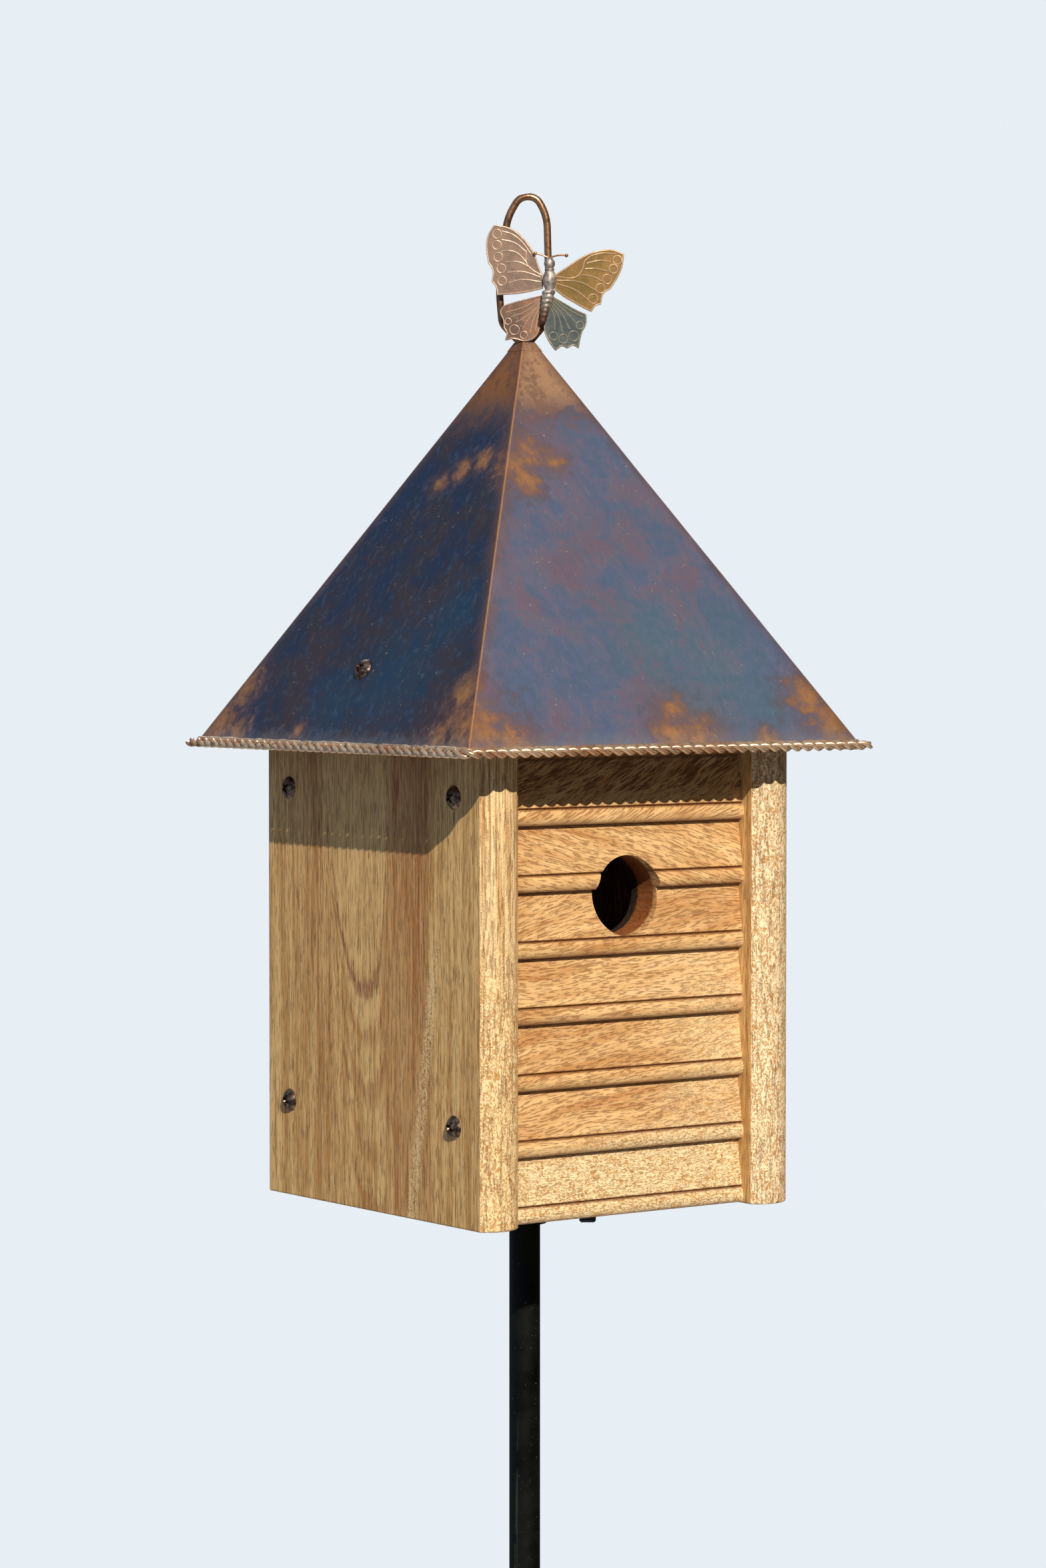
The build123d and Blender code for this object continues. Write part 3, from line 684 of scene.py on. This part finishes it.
def roofSheet(settings, finish):
    bm = bmesh.new()
    bmesh.ops.create_cone(bm, segments=4, radius1=eaveHalf * sqrt(2), radius2=cutHalf * sqrt(2),
                          depth=cutZ - eaveZ, cap_ends=False)
    bmesh.ops.rotate(bm, verts=bm.verts, cent=(0, 0, 0), matrix=Matrix.Rotation(radians(45), 3, "Z"))
    bmesh.ops.translate(bm, verts=bm.verts, vec=(0, 0, (cutZ + eaveZ) / 2))
    hips = [edge for edge in bm.edges if climb(edge) > 10 * mm]
    bmesh.ops.bevel(bm, geom=hips, offset=settings["softness"], segments=3, profile=0.5,
                    affect="EDGES", material=-1, offset_type="OFFSET")
    sloping = [edge for edge in bm.edges if climb(edge) > 10 * mm]
    bmesh.ops.subdivide_edges(bm, edges=sloping, cuts=settings["rows"], use_grid_fill=True)
    # the level edges of the four faces, but not the short ones of the softened hips
    level = [edge for edge in bm.edges if climb(edge) < 0.01 * mm and edge.calc_length() > 3.2 * mm]
    bmesh.ops.subdivide_edges(bm, edges=level, cuts=settings["columns"], use_grid_fill=True)
    bmesh.ops.recalc_face_normals(bm, faces=bm.faces)
    # broad and fine dents, all of them inward
    for vert in bm.verts:
        inward = Vector((vert.co.x, vert.co.y, 0)).normalized()
        dent = noise.noise(vert.co * 26) * 0.6 + noise.noise(vert.co * 70) * 0.25
        vert.co -= inward * settings["wave"] * (0.85 + dent)
    bmesh.ops.solidify(bm, geom=bm.faces, thickness=settings["sheet"])
    mesh = meshOf(bm, "roofSheet", False)
    addPiece("roofSheet", mesh, finish, "roof", ("roof_shell",), 50)


# twisted rope round the eaves
ropeSet = {"diameter": 4.7 * mm, "half": 115.6 * mm, "corner": 4 * mm, "lay": 13.2 * mm,
           "overhang": 6 * mm, "gap": 0.25 * mm, "knots": 14, "frayed": (0.45, 0.8, 0.95)}


def ropeRoute(start, corner, end, bend):
    # two straight runs with a round corner between them, bent in eight steps
    back = (start - corner).normalized()
    ahead = (end - corner).normalized()
    centre = corner + (back + ahead) * bend
    arc = [centre - (ahead * cos(turn) + back * sin(turn)) * bend
           for turn in [pi / 2 * step / 8 for step in range(9)]]
    return [start] + arc + [end]


def strandPair(route, settings):
    step = settings["lay"] / settings["knots"]
    line = evenly(route, step)
    reach = settings["diameter"] / 4
    frayed = settings["frayed"]
    strands = []
    for phase in (0, pi):
        knots = []
        for number, point in enumerate(line):
            before = line[max(number - 1, 0)]
            after = line[min(number + 1, len(line) - 1)]
            along = (after - before).normalized()
            aside = along.cross(Vector((0, 0, 1))).normalized()
            turn = phase - 2 * pi * number * step / settings["lay"]
            off = (aside * cos(turn) + Vector((0, 0, 1)) * sin(turn)) * reach
            fromEnd = min(number, len(line) - 1 - number)
            knots.append((point + off, frayed[fromEnd] if fromEnd < len(frayed) else 1.0))
        strands.append(knots)
    return curveMesh(strands, depth=reach * 0.995, sides=3, kind="POLY")


def eaveRopes(settings, finish):
    half = settings["half"]
    ropeLow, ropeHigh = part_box("front_eave_rope")
    level = (ropeLow.z + ropeHigh.z) / 2
    end = half + settings["overhang"] - 0.3 * mm
    inside = half - settings["diameter"] / 2 - settings["gap"]
    runs = {"front": ((-half, end), (-half, -half), (end, -half)),
            "back": ((half, -inside), (half, half), (-inside, half))}
    for name, places in runs.items():
        start, corner, last = [Vector((x, y, level)) for x, y in places]
        mesh = strandPair(ropeRoute(start, corner, last, settings["corner"]), settings)
        addPiece(name + "RopeStrands", mesh, finish, "roof", (name + "_eave_rope",), 60)


# butterfly
# sizes in millimetres in its own plane, which is turned to face the front left corner
# lift and droop bend the wings away from the body, lean tips the tail to the left
flySet = {"turn": -36, "wingThick": 0.8, "hindOut": 2.0, "foreOut": 3.1, "bodyOut": 5.4, "bodyX": 11.9,
          "lift": 0.10, "droop": 0.0016, "voxel": 0.24, "edge": 0.12, "rim": 0.42, "vein": 0.36,
          "ring": 0.32, "leanFrom": 438.0, "lean": 0.21}
flyTurn = radians(flySet["turn"])
ornament = Matrix(((cos(flyTurn), 0, sin(flyTurn), 0), (sin(flyTurn), 0, -cos(flyTurn), 0),
                   (0, 1, 0, boxBase), (0, 0, 0, 1)))

# tones are field, rim, shade and accent, and rings are eye spots: across, up, radius
# outlines in millimetres across and up the butterfly's plane: runs that meet in corners and cusps
wings = {
    "left_forewing": {
        "out": "foreOut",
        "tones": ((0.27, 0.175, 0.125), (0.72, 0.53, 0.41), (0.19, 0.125, 0.100), (0.23, 0.215, 0.155)),
        "outline": [
            [(8.8, 443.6), (7.1, 447.6), (4.5, 454.7), (0.0, 461.2), (-6.5, 466.4), (-11.7, 467.9),
             (-14.9, 468.0)],
            [(-14.9, 468.0), (-17.8, 462.5), (-18.3, 456.7), (-17.5, 450.2)],
            [(-17.5, 450.2), (-15.4, 446.6), (-15.7, 441.2)],
            [(-15.7, 441.2), (-13.6, 438.2), (-13.0, 434.7)],
            [(-13.0, 434.7), (-10.4, 434.9), (-1.3, 435.7), (8.8, 438.0)]],
        "rings": [(-13.2, 463.9, 2.1), (-13.3, 458.6, 2.1), (-12.6, 452.9, 2.1), (-11.2, 447.4, 2.1),
                  (-10.8, 441.5, 2.1)],
        "veins": [[(-11, 461.2), (-5.2, 459.9), (0.9, 455.4)],
                  [(-11.4, 455.7), (-4.6, 455.4), (1.2, 450.2)],
                  [(-9.1, 450.5), (-2.6, 450.5), (1.9, 448.3)],
                  [(-8.4, 445.4), (-1.3, 446.0), (7.6, 443.4)],
                  [(-7.8, 440.5), (-1.3, 442.1), (7.6, 441.2)],
                  [(0.9, 455.4), (0.9, 450.2), (3.2, 447.3), (7.8, 444.5)],
                  [(-10.8, 465.3), (-5.6, 463.6), (-0.6, 459.4), (2.9, 454.6)]]},
    "right_forewing": {
        "out": "foreOut",
        "tones": ((0.30, 0.165, 0.055), (0.74, 0.50, 0.31), (0.19, 0.120, 0.035), (0.34, 0.245, 0.065)),
        "outline": [
            [(14.6, 444.4), (20.2, 448.1), (26.0, 452.0), (31.2, 454.6), (37.6, 456.2), (42.8, 456.2),
             (47.5, 454.2)],
            [(47.5, 454.2), (46.6, 448.1), (43.8, 441.9), (41.2, 437.8)],
            [(41.2, 437.8), (37.8, 435.4), (36.3, 430.2)],
            [(36.3, 430.2), (34.0, 429.6), (31.9, 426.8)],
            [(31.9, 426.8), (27.9, 428.7), (23.4, 431.3), (18.9, 433.9), (14.4, 437.6)]],
        "rings": [(44.4, 451.5, 2.1), (42.5, 447.2, 2.1), (39.5, 442.3, 2.2), (36.3, 437.9, 2.2),
                  (32.8, 432.9, 2.2)],
        "veins": [[(43.4, 454.4), (34.8, 454.4), (29.0, 451.2), (27.7, 447.0), (24.5, 443.4),
                   (15.0, 443.6)],
                  [(41.2, 450.5), (35.5, 451.2), (29.7, 449.9)],
                  [(39.6, 446.0), (34.2, 447.3), (29.0, 447.3)],
                  [(37.2, 441.2), (32.9, 443.4), (27.7, 444.4)],
                  [(34.0, 437.0), (26.4, 440.9), (15.2, 441.8)],
                  [(30.5, 432.4), (23.9, 437.3), (15.2, 440.2)]]},
    "left_hindwing": {
        "out": "hindOut",
        "tones": ((0.25, 0.130, 0.080), (0.58, 0.42, 0.31), (0.13, 0.075, 0.055), (0.25, 0.205, 0.160)),
        "outline": [
            [(8.6, 434.9), (2.1, 433.2), (-4.4, 431.6), (-10.2, 429.7)],
            [(-10.2, 429.7), (-11.8, 427.0), (-10.4, 423.0), (-10.0, 419.0)],
            [(-10.0, 419.0), (-8.6, 416.4), (-9.3, 413.2)],
            [(-9.3, 413.2), (-6.3, 413.9), (-3.4, 413.4), (-0.8, 412.7)],
            [(-0.8, 412.7), (2.2, 413.0), (5.0, 414.6), (6.9, 417.7), (7.6, 421.6), (8.6, 427.0)]],
        "rings": [(-4.9, 418.2, 2.3), (-0.4, 415.7, 1.7), (-7.9, 422.2, 1.5)],
        "veins": [[(7.6, 433.2), (-0.5, 429.0), (-9.4, 426.3)],
                  [(7.6, 432.4), (0.5, 427.0), (-6.6, 424.2)],
                  [(7.7, 431.6), (1.4, 425.0), (-4.4, 421.6)],
                  [(7.8, 430.8), (2.2, 423.8), (-1.0, 418.6)],
                  [(7.9, 430.0), (4.4, 423.6), (2.6, 416.6)],
                  [(8.0, 429.0), (6.2, 423.6), (5.2, 417.8)]]},
    "right_hindwing": {
        "out": "hindOut",
        "tones": ((0.110, 0.130, 0.130), (0.42, 0.38, 0.27), (0.055, 0.075, 0.080), (0.19, 0.190, 0.160)),
        "outline": [
            [(12.4, 434.6), (18.9, 431.0), (24.7, 427.7), (29.5, 425.5)],
            [(29.5, 425.5), (29.4, 421.0), (27.6, 417.3)],
            [(27.6, 417.3), (26.6, 413.6), (25.9, 409.5)],
            [(25.9, 409.5), (23.6, 410.7), (20.4, 409.4)],
            [(20.4, 409.4), (18.0, 410.4), (14.7, 408.4)],
            [(14.7, 408.4), (12.0, 412.0), (10.0, 415.8), (9.3, 419.7), (10.0, 424.0), (11.6, 428.6)]],
        "rings": [(26.4, 420.3, 1.8), (23.5, 415.2, 2.4), (18.5, 413.9, 2.1), (13.7, 415.2, 1.9)],
        "veins": [[(13.2, 433.6), (20.0, 428.6), (27.9, 424.2)],
                  [(12.9, 432.6), (18.8, 427.6), (24.6, 421.4)],
                  [(12.7, 431.6), (17.8, 425.8), (21.6, 418.4)],
                  [(12.4, 430.6), (16.2, 424.6), (18.0, 417.2)],
                  [(12.0, 429.6), (14.2, 424.0), (14.4, 418.2)]]},
}


def onPlane(point, out=0.0):
    return Vector((point[0], point[1], out))


def eyeSpot(x, z, radius, out):
    # twelve knots of a ring
    turns = [pi / 6 * step for step in range(12)]
    return [(onPlane((x + radius * cos(turn), z + radius * sin(turn)), out), False) for turn in turns]


def wingPiece(name, settings):
    shape = wings[name]
    top = settings["wingThick"] / 2
    base = settings[shape["out"]] + top
    knots = []
    for run in shape["outline"]:
        knots += [(onPlane(point), number == 0) for number, point in enumerate(run[:-1])]
    knots.append((onPlane(shape["outline"][-1][-1]), True))
    edge = settings["edge"]
    plate = curveMesh([knots], depth=edge, sides=1, closed=True, flat=top - edge, steps=8)
    holder = bpy.data.objects.new("plate", plate)
    bpy.context.scene.collection.objects.link(holder)
    remesh = holder.modifiers.new("remesh", "REMESH")
    remesh.mode = "VOXEL"
    remesh.voxel_size = settings["voxel"]
    solid = bpy.data.meshes.new_from_object(holder.evaluated_get(bpy.context.evaluated_depsgraph_get()))
    bpy.data.objects.remove(holder)
    # raised rim, veins and eye spots
    centre = sum((point for point, corner in knots), Vector()) / len(knots)
    inset = [(point + (centre - point).normalized() * settings["rim"] * 0.7, corner)
             for point, corner in knots]
    bm = bmesh.new()
    raised = bm.verts.layers.float.new("raised")
    for out in (top, -top):
        rim = [(point + Vector((0, 0, out)), corner) for point, corner in inset]
        bm.from_mesh(curveMesh([rim], depth=settings["rim"], sides=1, closed=True, steps=5))
        veins = [[(onPlane(point, out), False) for point in vein] for vein in shape["veins"]]
        bm.from_mesh(curveMesh(veins, depth=settings["vein"], sides=1, steps=6))
        rings = [eyeSpot(x, z, radius, out) for x, z, radius in shape["rings"]]
        bm.from_mesh(curveMesh(rings, depth=settings["ring"], sides=1, closed=True, steps=3))
    relief = len(bm.verts)
    bm.from_mesh(solid)
    bm.verts.ensure_lookup_table()
    for number, vert in enumerate(bm.verts):
        vert[raised] = 1.0 if number < relief else 0.0
        away = abs(vert.co.x - settings["bodyX"])
        vert.co.z += base + away * settings["lift"] - away * away * settings["droop"]
        vert.co *= mm
    bm.transform(ornament)
    side, kind = name.split("_")
    title = side + kind.capitalize()
    finish = wingFinish(title + "Copper", *shape["tones"])
    addPiece(title, meshOf(bm, name, False), finish, "roof", (name,), 60)


def butterflyBody(settings, finish):
    # profile from the crown down: level, radius
    profile = [(452.9, 0.0), (452.5, 1.1), (451.6, 2.0), (450.4, 2.6), (449.3, 2.65), (448.2, 2.2),
               (447.6, 1.8), (447.3, 2.3), (446.7, 2.35), (446.4, 1.9), (445.8, 2.3), (444.6, 2.9),
               (442.8, 3.3), (440.8, 3.3), (439.0, 2.8), (437.8, 2.2), (437.2, 2.0)]
    # seven rings of the tail, each narrower than the one above
    for ring in range(7):
        top = 437.0 - ring * 2.2
        girth = 3.25 - ring * 0.24
        for drop, share in ((0.3, 0.93), (1.0, 1.0), (1.7, 0.95), (2.1, 0.84)):
            profile.append((top - drop, girth * share))
    profile += [(421.0, 1.0), (420.5, 0.0)]
    bm = bmesh.new()
    verts = [bm.verts.new((radius, level, 0)) for level, radius in profile]
    edges = [bm.edges.new(pair) for pair in zip(verts, verts[1:])]
    bmesh.ops.spin(bm, geom=verts + edges, cent=(0, 0, 0), axis=(0, 1, 0), dvec=(0, 0, 0), angle=2 * pi,
                   steps=28, use_merge=True, use_duplicate=False)
    for vert in bm.verts:
        lean = max(0.0, settings["leanFrom"] - vert.co.y) * settings["lean"]
        vert.co.x += settings["bodyX"] - lean
        vert.co.z += settings["bodyOut"]
        vert.co *= mm
    bm.transform(ornament)
    mesh = meshOf(bm, "butterflyBody")
    addPiece("butterflyBody", mesh, finish, "roof", ("butterfly_body",), 45)


# pewter above, brown copper toward the tail
bodySet = {"pewterDark": (0.24, 0.205, 0.180), "pewterPale": (0.62, 0.54, 0.475),
           "brown": (0.19, 0.088, 0.048), "darkBrown": (0.09, 0.055, 0.042)}


def bodyFinish(settings):
    f = Finish("pewterCopper")
    small = f.cloud(f.place, 420, 3.0, 0.6, 0.4)
    fine = f.cloud(f.place, 1600, 2.0, 0.6)
    level = f.z - boxBase + (small - 0.5) * 0.008
    patches = f.level(small, 0.35, 0.68)
    pewter = f.mix(patches, settings["pewterDark"], settings["pewterPale"])
    copper = f.mix(patches, settings["brown"], settings["darkBrown"])
    color = f.mix(f.level(level, 0.424, 0.432), copper, pewter)
    f.set(Base_Color=color, Metallic=0.6, Roughness=f.level(small, 0.3, 0.7, 0.44, 0.60))
    f.bump(small * 0.6 + fine * 0.4, 0.00015, 0.7)
    return f


# small trim
solderSet = {"mound": 3.3 * mm, "moundTop": 2.2 * mm, "moundHeight": 1.8 * mm, "seam": 1.6 * mm,
             "seamInset": 0.3 * mm, "lumps": 60}


def apexSolder(settings, finish):
    # lumpy mound of solder round the loop's legs, on the tip of the roof
    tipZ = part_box("apex_cap")[1].z
    bm = bmesh.new()
    bmesh.ops.create_cone(bm, segments=40, radius1=settings["mound"], radius2=settings["moundTop"],
                          depth=settings["moundHeight"], cap_ends=True)
    bmesh.ops.subdivide_edges(bm, edges=bm.edges, cuts=2, use_grid_fill=True)
    for vert in bm.verts:
        vert.co += vert.co * noise.noise(vert.co * 900) * 0.16
    bmesh.ops.translate(bm, verts=bm.verts, vec=(0, 0, tipZ + settings["moundHeight"] * 0.4))
    addPiece("apexSolder", meshOf(bm, "apexSolder"), finish, "roof", (), 50)


def eaveSolder(settings, finish):
    # seam of solder between the edge of the sheet and the rope, all the way round
    half = eaveHalf - settings["seamInset"]
    level = eaveZ - settings["seamInset"]
    corners = [Vector((x * half, y * half, level)) for x, y in ((-1, -1), (1, -1), (1, 1), (-1, 1))]
    knots = []
    for start, end in zip(corners, corners[1:] + corners[:1]):
        for step in range(settings["lumps"]):
            point = start.lerp(end, step / settings["lumps"])
            knots.append((point, 0.85 + 0.35 * noise.noise(point * 300)))
    mesh = curveMesh([knots], depth=settings["seam"], sides=2, closed=True, kind="POLY")
    addPiece("eaveSolder", mesh, finish, "roof", (), 60)


# stage
def makeFloor(settings):
    bm = bmesh.new()
    bmesh.ops.create_circle(bm, cap_ends=True, segments=96, radius=settings["radius"])
    bmesh.ops.translate(bm, verts=bm.verts, vec=(0, 0, cadBox[0].z - 0.2 * mm))
    mesh = meshOf(bm, "floor", False)
    floor = bpy.data.objects.new("floor", mesh)
    bpy.context.scene.collection.objects.link(floor)
    f = Finish("paleFloor")
    away = f.node("VectorMath", {"operation": "LENGTH"}, {0: f.at(f.x, f.y, 0.0)}, out="Value")
    f.set(Base_Color=settings["color"], Roughness=0.85,
          Alpha=f.level(away, settings["fadeFrom"], settings["radius"], 1.0, 0.0))
    mesh.materials.append(f.material)


makeCamera(cameraSet)
makeSun("sun", lightSet)
makeSun("rim", lightSet)
makeWorld(lightSet)
makeFloor(floorSet)
bpy.context.scene.view_settings.view_transform = "Standard"
print("stage ready")

dress(["left_side_board"], sideBoardWood(sideWood, "leftSideWood", -1))
dress(["right_side_board"], sideBoardWood(sideWood, "rightSideWood", 1))
dress(["front_board"], frontBoardWood(frontWood, "frontWood"))
dress(["back_board", "floor_board", "left_roof_cleat", "right_roof_cleat"], plainBoardWood("plainWood"))
dress(["left_side_screws", "right_side_screws", "roof_screws"], screwBronze(screwSet))
dress(["pole_lower", "pole_middle", "pole_upper", "pole_flange", "ground_hub", "ground_spike",
       "ground_prongs", "set_screw", "flange_screws"], blackSteel(steelSet))
rodCopper = copperFinish("rodCopper", rodSet)
dress(["hanger_loop", "butterfly_antennae"], rodCopper)
flamedCopper = roofFinish(roofSet)
dress(["apex_cap"], flamedCopper)
print("frame dressed")

roofSheet(roofSet, flamedCopper)
ropeCopper = copperFinish("ropeCopper", ropeTone)
eaveRopes(ropeSet, ropeCopper)
for wing in wings:
    wingPiece(wing, flySet)
butterflyBody(flySet, bodyFinish(bodySet))
apexSolder(solderSet, rodCopper)
eaveSolder(solderSet, ropeCopper)
